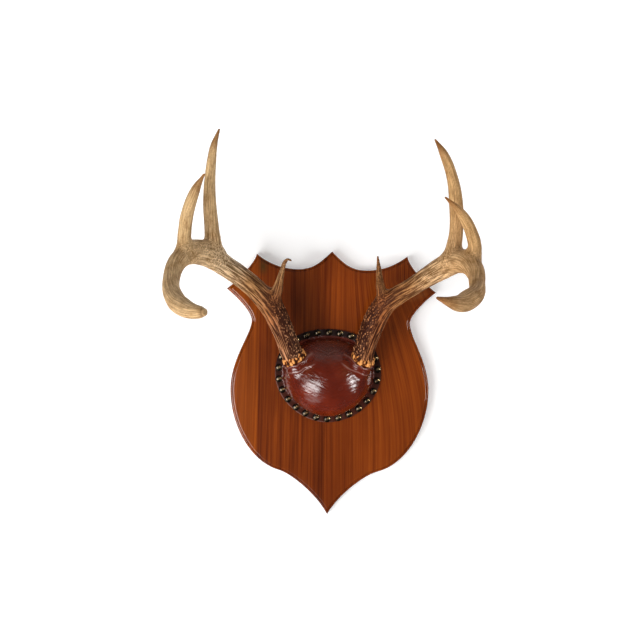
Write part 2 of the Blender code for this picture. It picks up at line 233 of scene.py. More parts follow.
RIGHT_BRANCHES = {
    "beam": (
        (0.0, 0.0, 0.0, 3.4),
        (0.6, 1.7, 3.6, 3.4),
        (1.7, 3.4, 7.5, 3.4),
        (3.5, 5.6, 12.7, 3.6),
        (6.2, 7.8, 17.7, 3.5),
        (10.1, 10.2, 21.0, 3.0),
        (14.6, 13.2, 23.8, 2.8),
        (19.0, 16.8, 26.8, 3.1),
        (23.3, 21.0, 29.6, 3.5),
        (27.5, 25.6, 31.8, 3.7),
        (30.7, 30.5, 31.1, 3.4),
        (32.5, 35.4, 28.1, 2.8),
        (32.5, 40.2, 24.8, 2.4),
        (31.7, 45.6, 21.8, 2.6),
        (29.1, 50.7, 19.8, 3.0),
        (26.2, 55.6, 18.6, 2.5),
        (23.4, 59.0, 18.8, 1.7),
        (18.9, 62.2, 19.9, 0.4),
    ),
    "brow_tine": (
        (6.5, 8.3, 19.1, 2.7),
        (5.7, 9.5, 21.9, 1.8),
        (5.0, 10.7, 25.0, 1.2),
        (4.6, 11.7, 28.2, 0.9),
        (4.0, 13.2, 33.5, 0.3),
    ),
    "tall_tine": (
        (26.4, 24.4, 31.6, 3.4),
        (26.8, 25.1, 36.1, 2.5),
        (27.3, 25.9, 40.7, 2.1),
        (26.9, 27.6, 49.7, 2.1),
        (25.6, 28.5, 56.9, 1.7),
        (22.8, 29.5, 64.0, 1.3),
        (19.9, 30.2, 68.5, 0.3),
    ),
    "outer_tine": (
        (31.9, 29.8, 31.5, 2.9),
        (32.5, 31.2, 35.9, 2.1),
        (31.7, 32.4, 39.2, 1.9),
        (28.0, 34.9, 45.7, 1.4),
        (22.8, 37.1, 50.4, 0.3),
    ),
}
CURVE_STEPS = 6
ANTLER_VOXEL = 0.00115
ANTLER_SMOOTHING = 4
BURR_ROWS = ((0.003, 0.003, 17), (0.0062, 0.0024, 16))
BURR_DEPTH = 0.0014
PEARLED_LENGTH = 0.115
FINE_LENGTH = 0.125
BROWNED_LENGTH = 0.27
RIDGED_RADIUS = 0.0125
BLEND_REACH = 0.0022
JOIN_REACH = 0.0026
JOIN_SMOOTHING = ((0.01, 25), (0.006, 35))
HOOK_SPECK = (-0.183, -0.262, 0.098)


# Small helpers


def ramp_up(low, high, value):
    """0 below low, 1 above high, and smooth in between."""
    share = np.clip((value - low) / (high - low), 0.0, 1.0)
    return share * share * (3.0 - 2.0 * share)


def shape_of(mesh):
    shape = bmesh.new()
    shape.from_mesh(mesh)
    return shape


def put_back(shape, mesh):
    shape.to_mesh(mesh)
    shape.free()


def mesh_of(shape, name):
    bmesh.ops.recalc_face_normals(shape, faces=shape.faces)
    made = bpy.data.meshes.new(name)
    put_back(shape, made)
    return made


def add_object(name, mesh):
    made = bpy.data.objects.new(name, mesh)
    bpy.context.scene.collection.objects.link(made)
    return made


def settled(obj):
    """The object's mesh with its modifiers applied, and the object removed."""
    graph = bpy.context.evaluated_depsgraph_get()
    made = bpy.data.meshes.new_from_object(obj.evaluated_get(graph))
    bpy.data.objects.remove(obj, do_unlink=True)
    return made


def skinned(mesh, voxel, smoothing):
    """One smooth skin round all the closed shells of a mesh."""
    work = add_object("work", mesh)
    remesh = work.modifiers.new("one skin", "REMESH")
    remesh.mode = "VOXEL"
    remesh.voxel_size = voxel
    soften = work.modifiers.new("soften", "SMOOTH")
    soften.factor = 0.5
    soften.iterations = smoothing
    return settled(work)


def coordinates_of(mesh):
    flat = np.empty(len(mesh.vertices) * 3)
    mesh.vertices.foreach_get("co", flat)
    return flat.reshape(-1, 3)


def normals_of(mesh):
    flat = np.empty(len(mesh.vertices) * 3)
    mesh.vertex_normals.foreach_get("vector", flat)
    return flat.reshape(-1, 3)


def set_coordinates(mesh, points):
    mesh.vertices.foreach_set("co", points.astype(np.float32).ravel())
    mesh.update()


def add_layer(mesh, name, values):
    """Stores a number or a vector at each point of a mesh."""
    kind, item = ("FLOAT", "value") if values.ndim == 1 else ("FLOAT_VECTOR", "vector")
    layer = mesh.attributes.new(name, kind, "POINT")
    layer.data.foreach_set(item, values.astype(np.float32).ravel())


def noise_at(points):
    """Smooth noise from -1 to 1 at each point."""
    return np.array([noise.noise(Vector(point)) for point in points])


def cells_at(points):
    """The distance from each point to the middle of its nearest cell."""
    return np.array([noise.voronoi(Vector(point))[0][0] for point in points])


def add_cone(shape, start, end, start_radius, end_radius, sides):
    turn = (end - start).to_track_quat("Z", "Y").to_matrix().to_4x4()
    bmesh.ops.create_cone(
        shape,
        cap_ends=True,
        segments=sides,
        radius1=start_radius,
        radius2=end_radius,
        depth=(end - start).length,
        matrix=Matrix.Translation((start + end) / 2) @ turn,
    )


def bridge(shape, rings):
    """Closes the first and the last ring, and joins each ring to the next."""
    shape.faces.new(rings[0])
    shape.faces.new(rings[-1])
    count = len(rings[0])
    for low, high in zip(rings, rings[1:]):
        for here in range(count):
            after = (here + 1) % count
            shape.faces.new((low[here], low[after], high[after], high[here]))


def dress(obj, material, slot, *nodes):
    """Gives a piece its material and its place in the frame, where it stands for some CAD nodes."""
    obj.data.materials.clear()
    obj.data.materials.append(material)
    obj.data.shade_smooth()
    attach(obj, "root")
    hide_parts(*nodes)


def set_inputs(node, **values):
    for name, value in values.items():
        node.inputs[name.replace("_", " ")].default_value = value


class Paint:
    """A material, with short ways to add nodes to it."""

    def __init__(self, name, **values):
        self.material = bpy.data.materials.new(name)
        self.material.use_nodes = True
        self.tree = self.material.node_tree
        self.shader = self.tree.nodes["Principled BSDF"]
        set_inputs(self.shader, **values)

    def feed(self, socket, source):
        if isinstance(source, (int, float)):
            socket.default_value = source
        elif isinstance(source, tuple):
            socket.default_value = (*source, 1.0)[: len(socket.default_value)]
        else:
            self.tree.links.new(source, socket)

    def paint(self, name, source):
        self.feed(self.shader.inputs[name], source)

    def node(self, kind, *sources, **settings):
        """A new node with these settings, its first inputs fed in order."""
        made = self.tree.nodes.new("ShaderNode" + kind)
        for name, value in settings.items():
            setattr(made, name, value)
        for socket, source in zip(made.inputs, sources):
            self.feed(socket, source)
        return made

    def place(self, stretch=(1.0, 1.0, 1.0), source=None):
        """Places on the object in metres, times a stretch."""
        if source is None:
            source = self.node("TexCoord").outputs["Object"]
        return self.node("VectorMath", source, stretch, operation="MULTIPLY").outputs[0]

    def stored(self, name, output="Fac"):
        """What the mesh stores under this name at each of its points."""
        return self.node("Attribute", attribute_name=name).outputs[output]

    def noise(self, place, scale=1.0, detail=2.0, roughness=0.5, distortion=0.0):
        node = self.node("TexNoise", place)
        set_inputs(node, Scale=scale, Detail=detail, Roughness=roughness, Distortion=distortion)
        return node.outputs["Fac"]

    def math(self, operation, first, second=0.0):
        return self.node("Math", first, second, operation=operation).outputs[0]

    def plus(self, first, second):
        return self.math("ADD", first, second)

    def minus(self, first, second):
        return self.math("SUBTRACT", first, second)

    def times(self, first, second):
        return self.math("MULTIPLY", first, second)

    def span(self, source, low, high, to_low=0.0, to_high=1.0):
        node = self.node("MapRange", source, low, high, to_low, to_high)
        return node.outputs["Result"]

    def ramp(self, source, *stops, interpolation="LINEAR"):
        """A colour for each value; each stop is a place from 0 to 1 and a colour."""
        node = self.node("ValToRGB", source)
        node.color_ramp.interpolation = interpolation
        while len(node.color_ramp.elements) < len(stops):
            node.color_ramp.elements.new(0.5)
        for element, (spot, colour) in zip(node.color_ramp.elements, stops):
            element.position = spot
            element.color = (*colour, 1.0)
        return node.outputs["Color"]

    def mix(self, share, first, second, blend="MIX"):
        node = self.node("Mix", share, data_type="RGBA", blend_type=blend, clamp_factor=True)
        self.feed(node.inputs[6], first)
        self.feed(node.inputs[7], second)
        return node.outputs[2]

    def tint(self, colour, factor, share=1.0):
        """The colour times a factor, as far as the share goes."""
        return self.mix(share, colour, factor, "MULTIPLY")

    def axis(self, place, name):
        return self.node("SeparateXYZ", place).outputs[name]

    def join_axes(self, x, y, z):
        return self.node("CombineXYZ", x, y, z).outputs[0]

    def near(self, spot, stretch, reach):
        """1 at a spot of the object and 0 beyond its reach, with distances stretched."""
        middle = tuple(share * place for share, place in zip(stretch, spot))
        away = self.node("VectorMath", self.place(stretch), middle, operation="DISTANCE")
        return self.span(away.outputs["Value"], 0.0, reach, 1.0, 0.0)

    def bump(self, height, depth, below=None):
        """Bumps of this depth in metres, over those below."""
        node = self.node("Bump")
        set_inputs(node, Strength=1.0, Distance=depth)
        self.feed(node.inputs["Height"], height)
        if below is not None:
            self.feed(node.inputs["Normal"], below)
        return node.outputs["Normal"]


# Materials


def wood_paint():
    """Reddish brown hardwood boards, glued side by side, with clear lacquer."""
    paint = Paint("lacquered_wood", Roughness=0.5, Specular_IOR_Level=0.03)
    set_inputs(paint.shader, Coat_Weight=1.0, Coat_Roughness=0.06, Coat_IOR=1.6)
    here = paint.place()
    across = paint.axis(here, "X")
    up = paint.axis(here, "Z")

    # The grain leans over beside the cover's right side; elsewhere it runs straight up
    rise = paint.span(up, -0.1, 0.14)
    bend = paint.times(paint.times(rise, rise), 0.06)
    leaning = paint.times(bend, paint.span(across, 0.01, 0.085))
    sway = paint.noise(paint.place((9.0, 9.0, 4.0)), detail=1.0)
    swayed = paint.times(paint.minus(sway, 0.5), 0.01)
    grain_x = paint.plus(paint.plus(across, leaning), swayed)
    grain = paint.join_axes(grain_x, paint.axis(here, "Y"), up)

    panel = paint.span(across, -HALF_PANEL, HALF_PANEL)
    boards = paint.ramp(
        panel,
        (0.0, (0.262, 0.052, 0.0034)),
        (LEFT_SEAM, (0.18, 0.0315, 0.0024)),
        (MIDDLE_SEAM, (0.185, 0.0325, 0.0028)),
        (RIGHT_SEAM, (0.21, 0.0385, 0.0032)),
        interpolation="CONSTANT",
    )
    figure = paint.ramp(
        paint.noise(paint.place((150.0, 50.0, 1.8), grain), detail=4.0, roughness=0.6),
        (0.3, (0.6, 0.52, 0.48)),
        (0.5, (1.0, 1.0, 1.0)),
        (0.7, (1.28, 1.42, 1.5)),
    )
    colour = paint.tint(boards, figure)

    # Dark pores streak every board, most of all above the cover on the right
    streaks = paint.noise(paint.place((560.0, 260.0, 7.0), grain), detail=3.0, roughness=0.6)
    pores = paint.span(streaks, 0.38, 0.6)
    tight = paint.near((0.088, 0.0, 0.146), (1.0, 0.0, 0.8), 0.028)
    usual = paint.ramp(
        panel,
        (0.0, (0.4, 0.4, 0.4)),
        (LEFT_SEAM, (0.66, 0.66, 0.66)),
        (MIDDLE_SEAM, (0.45, 0.45, 0.45)),
        interpolation="CONSTANT",
    )
    depth = paint.plus(paint.times(tight, 0.9), usual)
    streaked = paint.times(paint.minus(1.0, pores), depth)
    colour = paint.tint(colour, (0.4, 0.32, 0.32), streaked)
    clouds = paint.noise(paint.place((14.0, 14.0, 9.0)))
    shade = paint.ramp(clouds, (0.3, (0.86, 0.84, 0.84)), (0.7, (1.12, 1.14, 1.16)))
    colour = paint.tint(colour, shade)

    # The middle seam shows below the cover, where the left board darkens towards it
    seam = (2 * MIDDLE_SEAM - 1) * HALF_PANEL
    nearing = paint.span(across, seam - SHADED_WIDTH, seam)
    beside = paint.times(nearing, paint.span(across, seam, seam + SEAM_WIDTH, 1.0, 0.0))
    below = paint.times(beside, paint.span(up, -0.01, 0.05, 0.75, 0.0))
    colour = paint.tint(colour, (0.5, 0.42, 0.4), below)

    # Above the cover a painted pool of light beside a darker spot that is partly painted shade, and
    # a smudge near the left corner
    painted_light_spot = paint.near((0.0, 0.0, 0.13), (0.9, 0.0, 0.6), 0.05)
    colour = paint.tint(colour, (1.75, 1.8, 1.5), painted_light_spot)
    # Painted shade of the left antler beside its brow tine, partly the wood's own darker colour
    darker_wood_and_shade = paint.near((-0.044, 0.0, 0.105), (0.9, 0.0, 0.7), 0.042)
    colour = paint.tint(colour, (0.62, 0.6, 0.62), darker_wood_and_shade)
    smudge = paint.near((-0.0925, 0.0, 0.155), (1.6, 0.0, 0.9), 0.013)
    colour = paint.mix(smudge, colour, (0.07, 0.033, 0.007))
    paint.paint("Base Color", colour)
    paint.paint("Normal", paint.bump(pores, 0.00003))
    return paint.material


def leather_paint():
    """Oxblood leather, polished with a brush, with fine creases and worn creases, a painted sheen
    on top, painted shade on the rim's top and painted highlights on its edges.
    """
    paint = Paint("oxblood_leather", Specular_IOR_Level=0.18, Coat_IOR=1.75, Coat_Roughness=0.14)
    here = paint.place()
    up = paint.axis(here, "Z")
    rim = paint.stored("rim")
    paint.paint("Coat Weight", paint.minus(1.0, rim))
    colour = paint.ramp(
        paint.noise(here, scale=38.0, detail=3.0),
        (0.3, (0.08, 0.007, 0.0016)),
        (0.55, (0.118, 0.01, 0.0018)),
        (0.75, (0.16, 0.017, 0.003)),
    )
    # A painted reflection: a greyish sheen painted on the top of the dome between the antlers
    painted_sheen = paint.near((-0.003, 0.0, 0.044), (1.0, 0.0, 1.3), 0.03)
    colour = paint.mix(paint.times(painted_sheen, 0.8), colour, (0.06, 0.019, 0.012))
    # The rim's colour darkens towards its top: painted shade where the dome shadows it from the low
    # lights
    edge = paint.ramp(
        paint.span(up, -0.02, 0.05),
        (0.0, (0.05, 0.009, 0.0035)),
        (1.0, (0.012, 0.004, 0.003)),
    )
    colour = paint.mix(rim, colour, edge)
    # Pale lines: worn creases, and painted highlights along the collars' top edges and the rim's
    # lower left edge
    worn = paint.times(paint.stored("crease"), 0.7)
    colour = paint.mix(worn, colour, (0.33, 0.17, 0.14))
    paint.paint("Base Color", colour)

    # The polish was brushed on towards the middle of the dome, and downwards
    out = paint.math("ABSOLUTE", paint.minus(paint.axis(here, "X"), RING_CENTRE_X))
    down_in = paint.plus(paint.times(out, -50.0), paint.times(up, -22.0))
    beside = paint.plus(paint.times(out, 170.0), paint.times(up, -380.0))
    brushed = paint.join_axes(down_in, paint.times(paint.axis(here, "Y"), 60.0), beside)
    strokes = paint.noise(brushed, detail=3.0, distortion=0.3)
    creases = paint.noise(paint.place((1.0, 1.0, 1.6)), scale=150.0, detail=4.0, distortion=0.6)
    brushed_normal = paint.bump(strokes, 0.00075)
    paint.paint("Coat Normal", brushed_normal)
    paint.paint("Normal", paint.bump(creases, 0.0001, brushed_normal))
    wear = paint.span(paint.noise(here, scale=60.0, detail=3.0), 0.35, 0.7, 0.17, 0.3)
    dull = paint.times(paint.stored("foot"), 0.45)
    paint.paint("Roughness", paint.plus(wear, dull))
    return paint.material


def antler_paint(name, tint):
    """Antler: dark and pearled at its foot, tan with long streaks above, smooth at the tips."""
    paint = Paint(name, Specular_IOR_Level=0.12)
    here = paint.place()
    tone = paint.stored("tone")
    relief = paint.stored("relief")
    pure = paint.stored("pure")

    # Fine lines run along each branch, and wander where branches meet
    along = paint.place((820.0, 820.0, 46.0), paint.stored("grain", "Vector"))
    straight = paint.noise(along, detail=3.0, roughness=0.6, distortion=0.6)
    wavy = paint.noise(here, scale=320.0, distortion=2.2)
    lines = paint.plus(
        paint.times(paint.minus(straight, 0.5), pure),
        paint.times(paint.minus(wavy, 0.5), paint.minus(1.0, pure)),
    )
    above_foot = paint.span(tone, 0.15, 0.5, 0.35, 1.0)
    lighter = paint.times(paint.span(lines, 0.02, 0.11, 0.0, 0.45), above_foot)
    smoothed = paint.span(tone, 0.6, 1.0, 1.0, 0.35)
    darker = paint.times(paint.span(lines, -0.1, -0.01, -0.62, 0.0), smoothed)
    grit = paint.span(paint.noise(here, scale=420.0), 0.3, 0.7, -0.1, 0.1)
    level = paint.plus(paint.plus(relief, lighter), paint.plus(darker, grit))

    low = paint.ramp(
        tone,
        (0.0, (0.028, 0.0052, 0.0015)),
        (0.25, (0.05, 0.012, 0.0035)),
        (0.5, (0.1, 0.036, 0.011)),
        (0.74, (0.2, 0.115, 0.05)),
        (1.0, (0.26, 0.15, 0.064)),
    )
    high = paint.ramp(
        tone,
        (0.0, (0.62, 0.3, 0.15)),
        (0.25, (0.39, 0.14, 0.048)),
        (0.5, (0.5, 0.26, 0.104)),
        (0.74, (0.9, 0.65, 0.39)),
        (1.0, (0.69, 0.462, 0.238)),
    )
    colour = paint.mix(level, low, high)
    blotches = paint.ramp(
        paint.noise(here, scale=70.0, detail=3.0),
        (0.32, (0.8, 0.74, 0.66)),
        (0.5, (1.0, 1.0, 1.0)),
        (0.7, (1.12, 1.14, 1.18)),
    )
    colour = paint.tint(paint.tint(colour, blotches), tint)
    colour = paint.tint(colour, (1.08, 1.08, 1.04), paint.stored("pale"))
    nodules = paint.ramp(
        relief,
        (0.25, (0.035, 0.008, 0.0018)),
        (0.58, (0.3, 0.085, 0.016)),
        (0.9, (0.8, 0.35, 0.105)),
    )
    colour = paint.mix(paint.stored("burr"), colour, nodules)
    colour = paint.tint(colour, (0.58, 0.39, 0.25), paint.stored("tip"))
    colour = paint.tint(colour, (0.25, 0.2, 0.17), paint.stored("stain"))
    paint.paint("Base Color", colour)
    paint.paint("Normal", paint.bump(level, 0.00016))
    paint.paint("Roughness", paint.span(straight, 0.3, 0.7, 0.62, 0.46))
    return paint.material


def tack_paint():
    """Darkened bronze, worn to gold in places."""
    paint = Paint("dark_bronze", Metallic=0.8, Roughness=0.26, Coat_Weight=0.4, Coat_Roughness=0.1)
    here = paint.place()
    worn = paint.ramp(
        paint.noise(here, scale=260.0, detail=3.0),
        (0.46, (0.016, 0.011, 0.008)),
        (0.56, (0.1, 0.065, 0.03)),
        (0.66, (0.8, 0.56, 0.26)),
    )
    paint.paint("Base Color", worn)
    paint.paint("Normal", paint.bump(paint.noise(here, scale=700.0), 0.0002))
    return paint.material


# Board


def shield_runs():
    """The outline's smooth runs from corner to corner, clockwise from the middle cusp."""
    low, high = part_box("shield_plaque")
    half_width = (high.x - low.x) / 2
    half_height = (high.z - low.z) / 2
    runs = [[]]
    for start, end in zip(SHIELD, SHIELD[1:]):
        knots = [
            Vector((x * half_width, z * half_height))
            for x, z in (start[0], start[2], end[1], end[0])
        ]
        length = (knots[3] - knots[0]).length
        steps = max(6, round(length / OUTLINE_STEP))
        runs[-1] += interpolate_bezier(*knots, steps + 1)[:-1]
        if end[3]:
            runs[-1].append(knots[3])
            runs.append([])
    runs = runs[:-1]
    mirrored = [[Vector((-x, z)) for x, z in reversed(run)] for run in reversed(runs)]
    return runs + mirrored


def inward_normals(run):
    """The way in from each point of a clockwise run."""
    made = []
    for here in range(len(run)):
        before = run[max(here - 1, 0)]
        after = run[min(here + 1, len(run) - 1)]
        along = (after - before).normalized()
        made.append(Vector((along.y, -along.x)))
    return made


def meeting(first, second):
    """Where the end of one inset run crosses the start of the next: the point and both places."""
    for reach in range(1, max(len(first), len(second))):
        for here in range(max(len(first) - 1 - reach, 0), len(first) - 1):
            for there in range(min(reach, len(second) - 1)):
                spot = intersect_line_line_2d(
                    first[here], first[here + 1], second[there], second[there + 1]
                )
                if spot:
                    return spot, here, there
    return (first[-1] + second[0]) / 2, len(first) - 1, 0


def inset_ring(runs, normals, inset):
    """The whole outline moved in by a distance, with true mitres at its corners."""
    moved = [
        [point + normal * inset for point, normal in zip(run, way)]
        for run, way in zip(runs, normals)
    ]
    if inset > 0:
        for number in range(len(moved)):
            first, second = moved[number - 1], moved[number]
            spot, here, there = meeting(first, second)
            for place in range(here + 1, len(first)):
                first[place] = spot.copy()
            for place in range(there + 1):
                second[place] = spot.copy()
    return [point for run in moved for point in run[:-1]]


def quarter_round(width, height, steps):
    made = []
    for step in range(1, steps + 1):
        angle = math.pi / 2 * step / steps
        made.append((width * (1 - math.cos(angle)), height * math.sin(angle)))
    return made


def moulding():
    """The moulding's section: how far in from the edge, and how far out from the wall."""
    side = BOARD_THICKNESS - ROUND_DROP - BEAD_DROP
    section = [(0.0, 0.0), (0.0, side / 2), (0.0, side)]
    section += [(inward, side + rise) for inward, rise in quarter_round(ROUND_WIDTH, ROUND_DROP, 7)]
    shelf = section[-1][1]
    section.append((ROUND_WIDTH + QUIRK_WIDTH * 0.6, shelf - QUIRK_DROP * 0.7))
    section.append((ROUND_WIDTH + QUIRK_WIDTH, shelf - QUIRK_DROP))
    start, floor = section[-1]
    bead = quarter_round(BEAD_WIDTH, QUIRK_DROP + BEAD_DROP, 6)
    section += [(start + inward, floor + rise) for inward, rise in bead]
    return section


def make_board():
    runs = shield_runs()
    normals = [inward_normals(run) for run in runs]
    shape = bmesh.new()
    rings = []
    for inset, out in moulding():
        ring = inset_ring(runs, normals, inset)
        rings.append([shape.verts.new((point.x, -out, point.y)) for point in ring])
    bridge(shape, rings)
    bmesh.ops.remove_doubles(shape, verts=shape.verts, dist=0.00002)
    mesh = mesh_of(shape, "plaque_board")
    board = add_object("plaque_board", mesh)
    dress(board, wood_paint(), "wood", "shield_plaque")
    mesh.set_sharp_from_angle(angle=SHARP_ANGLE)


# Leather cover


def ring_point(turn, margin=0.0):
    """The tack ring's point at this turn, clockwise from its foot as seen from the front."""
    across, up = -math.sin(turn), -math.cos(turn)
    reach = (RING_RISE if up > 0 else RING_FALL) + margin
    power = RING_TOP_POWER if up > 0 else RING_FOOT_POWER
    x = (RING_HALF_WIDTH + margin) * math.copysign(abs(across) ** power, across)
    z = reach * math.copysign(abs(up) ** power, up)
    return Vector((x, z))


def even_ring(count, margin=0.0):
    """Points at even distances along the ring, the first at its foot."""
    samples = 720
    fine = [ring_point(2 * math.pi * step / samples, margin) for step in range(samples + 1)]
    run = [0.0]
    for start, end in zip(fine, fine[1:]):
        run.append(run[-1] + (end - start).length)
    points = []
    here = 0
    for number in range(count):
        wanted = run[-1] * number / count
        while run[here + 1] < wanted:
            here += 1
        share = (wanted - run[here]) / (run[here + 1] - run[here])
        points.append(fine[here].lerp(fine[here + 1], share))
    return points


def ring_in_world(point, y):
    return Vector((RING_CENTRE_X + point.x, y, RING_CENTRE_Z + point.y))


def seat(side):
    across = RING_CENTRE_X + side * SEAT_OUT
    return Vector((across, FRONT_Y - SEAT_ABOVE_BOARD, RING_CENTRE_Z + SEAT_RISE))


def seat_axis(side):
    axis = Vector((side * math.tan(LEAN_OUT), -math.tan(LEAN_FORWARD), 1.0))
    return axis.normalized()


def across_seat(side):
    """Two directions square to the seat's axis."""
    first = seat_axis(side).cross(Vector((0.0, 1.0, 0.0))).normalized()
    return first, seat_axis(side).cross(first)


def add_slab(shape, margin, back, front, sides):
    """Adds a flat sheet of the ring's outline, from one depth to another."""
    edge = [ring_in_world(point, back) for point in even_ring(sides, margin)]
    face = shape.faces.new([shape.verts.new(spot) for spot in edge])
    grown = bmesh.ops.extrude_face_region(shape, geom=[face])["geom"]
    raised = [item for item in grown if isinstance(item, bmesh.types.BMVert)]
    bmesh.ops.translate(shape, vec=(0.0, front - back, 0.0), verts=raised)


def add_dome(shape):
    foot = even_ring(DOME_SIDES, -DOME_MARGIN)
    rings = [[shape.verts.new(ring_in_world(point, LEATHER_BACK_Y)) for point in foot]]
    for level in range(DOME_LEVELS):
        climb = math.sin(math.pi / 2 * level / DOME_LEVELS)
        width = math.cos(math.pi / 2 * level / DOME_LEVELS)
        shift = Vector((0.0, -DOME_HEIGHT * climb, (CREST_Z - RING_CENTRE_Z) * climb))
        ring = [ring_in_world(point * width, FRONT_Y) + shift for point in foot]
        rings.append([shape.verts.new(spot) for spot in ring])
    bridge(shape, rings)


def cover_skin():
    """The dome and collars melted together, then set on the flat rim."""
    shape = bmesh.new()
    add_dome(shape)
    for side in (-1, 1):
        foot = seat(side) - seat_axis(side) * COLLAR_LENGTH
        foot_radius = COLLAR_RADIUS + COLLAR_FLARE
        add_cone(shape, foot, seat(side), foot_radius, COLLAR_RADIUS, COLLAR_SIDES)
    joined = shape_of(skinned(mesh_of(shape, "dome"), DOME_VOXEL, DOME_SMOOTHING))
    add_slab(joined, RIM_MARGIN, LEATHER_BACK_Y, LEATHER_FRONT_Y, RIM_SIDES)
    return skinned(mesh_of(joined, "skull_cover"), COVER_VOXEL, COVER_SMOOTHING)


def gap_to_ring(flat, count, margin=0.0):
    """How far points seen from the front are from the nearest of the ring's even points."""
    ring = np.array([tuple(point) for point in even_ring(count, margin)])
    return np.linalg.norm(flat[:, None, :] - ring[None, :, :], axis=2).min(axis=1)


def collar_ring(points, side, height, width, reach):
    """How strongly each point lies on a ring drawn round a collar at this height from its seat."""
    axis = np.array(seat_axis(side))
    apart = points - np.array(seat(side))
    along = apart @ axis
    out = np.linalg.norm(apart - along[:, None] * axis, axis=1)
    waver = 0.0007 * np.sin(np.arctan2(apart[:, 0], apart[:, 2]) * 5.0)
    near = np.exp(-(((along - height + waver) / width) ** 2))
    return near * (1 - ramp_up(reach, reach + 0.006, out))


def shape_cover(mesh):
    """Draws the leather down at each tack, rings its collars and leaves it a little uneven."""
    points = coordinates_of(mesh)
    flat = points[:, [0, 2]] - (RING_CENTRE_X, RING_CENTRE_Z)
    to_tack = gap_to_ring(flat, TACK_COUNT)
    to_ring = gap_to_ring(flat, RING_SAMPLES)
    inside = np.linalg.norm(flat / (RING_HALF_WIDTH, RING_FALL), axis=1)

    rim = (1 - ramp_up(0.003, 0.0062, to_ring)) + ramp_up(1.02, 1.06, inside)
    rim = np.clip(rim, 0.0, 1.0) * (points[:, 1] > LEATHER_FRONT_Y - 0.004)
    puff = ramp_up(0.0035, 0.0072, to_tack) * (1 - ramp_up(0.004, 0.007, to_ring))
    push = np.zeros(len(points))
    crease = np.zeros(len(points))
    for side in (-1, 1):
        for rise, *form in COLLAR_RINGS:
            push += rise * collar_ring(points, side, *form)
        for share, *form in COLLAR_WEAR_AND_HIGHLIGHT:
            crease += share * collar_ring(points, side, *form)
    waves = noise_at(points * 45.0) * 0.00055 + noise_at(points * (70.0, 70.0, 190.0)) * 0.00016
    push += waves * np.clip((LEATHER_FRONT_Y - points[:, 1]) / 0.01, 0.0, 1.0)
    points = points + normals_of(mesh) * push[:, None]
    front = points[:, 1] < LEATHER_BACK_Y - 0.0012
    points[:, 1] -= 0.0006 * puff * rim * front
    points[:, 1] = np.minimum(points[:, 1], LEATHER_BACK_Y)
    set_coordinates(mesh, points)

    # A painted highlight: the rim's cut edge is painted pale at the lower left, where it catches
    # the light
    to_edge = gap_to_ring(flat, RING_SAMPLES, RIM_MARGIN)
    away = flat / np.linalg.norm(flat, axis=1)[:, None]
    lower_left = ramp_up(0.55, 0.9, away @ (-0.72, -0.69))
    crease += lower_left * np.exp(-((to_edge / 0.0008) ** 2)) * front
    add_layer(mesh, "rim", rim)
    add_layer(mesh, "foot", 1 - ramp_up(0.003, 0.009, LEATHER_FRONT_Y - points[:, 1]))
    # The crease layer holds worn pale creases, and painted highlights along the collars' top edges
    # and the rim's lower left edge
    add_layer(mesh, "crease", np.clip(crease, 0.0, 1.0))


def make_cover():
    mesh = cover_skin()
    mesh.name = "skull_cover"
    shape_cover(mesh)
    cover = add_object("skull_cover", mesh)
    dress(cover, leather_paint(), "leather", "leather_skull_cover")


# Antlers


def branch_curve(branches, side, bevel):
    """All branches of an antler as one curve object, with or without their thickness."""
    curve = bpy.data.curves.new("branches", "CURVE")
    curve.dimensions = "3D"
    curve.bevel_depth = bevel
    curve.bevel_resolution = 6
    curve.resolution_u = CURVE_STEPS
    curve.use_fill_caps = True
    share = BEAM_LENGTH / 100
    for rows in branches.values():
        spline = curve.splines.new("BEZIER")
        spline.radius_interpolation = "CARDINAL"
        spline.bezier_points.add(len(rows) - 1)
        for point, (out, forward, up, radius) in zip(spline.bezier_points, rows):
            point.co = Vector((side * out, -forward, up)) * share + seat(side)
            point.radius = max(radius * share, TIP_RADIUS)
            point.handle_left_type = "AUTO"
            point.handle_right_type = "AUTO"
    return add_object("branches", curve)


def branch_lines(branches, side):
    """The middle line of each branch: its points, its radii and its distances from the burr."""
    line = settled(branch_curve(branches, side, 0.0))
    points = coordinates_of(line)
    lines = []
    start = 0
    for name, rows in branches.items():
        count = (len(rows) - 1) * CURVE_STEPS + 1
        here = points[start : start + count]
        start += count
        radii = np.array([row[3] for row in rows]) * BEAM_LENGTH / 100
        spread = np.interp(np.linspace(0, len(rows) - 1, count), range(len(rows)), radii)
        steps = np.linalg.norm(np.diff(here, axis=0), axis=1)
        run = np.concatenate(([0.0], np.cumsum(steps)))
        if lines:
            beam = lines[0]
            join = np.linalg.norm(beam["points"] - here[0], axis=1).argmin()
            run = run + beam["run"][join]
        lines.append({"name": name, "points": here, "radii": spread, "run": run})
    return lines


def frames_along(points):
    """Two directions square to a line at each of its points, turning as little as they can."""
    ways = np.gradient(points, axis=0)
    ways /= np.linalg.norm(ways, axis=1)[:, None]
    first = np.cross(ways[0], (0.0, 1.0, 0.0))
    firsts = []
    for way in ways:
        first = first - way * (first @ way)
        first /= np.linalg.norm(first)
        firsts.append(first)
    firsts = np.array(firsts)
    return ways, firsts, np.cross(ways, firsts)


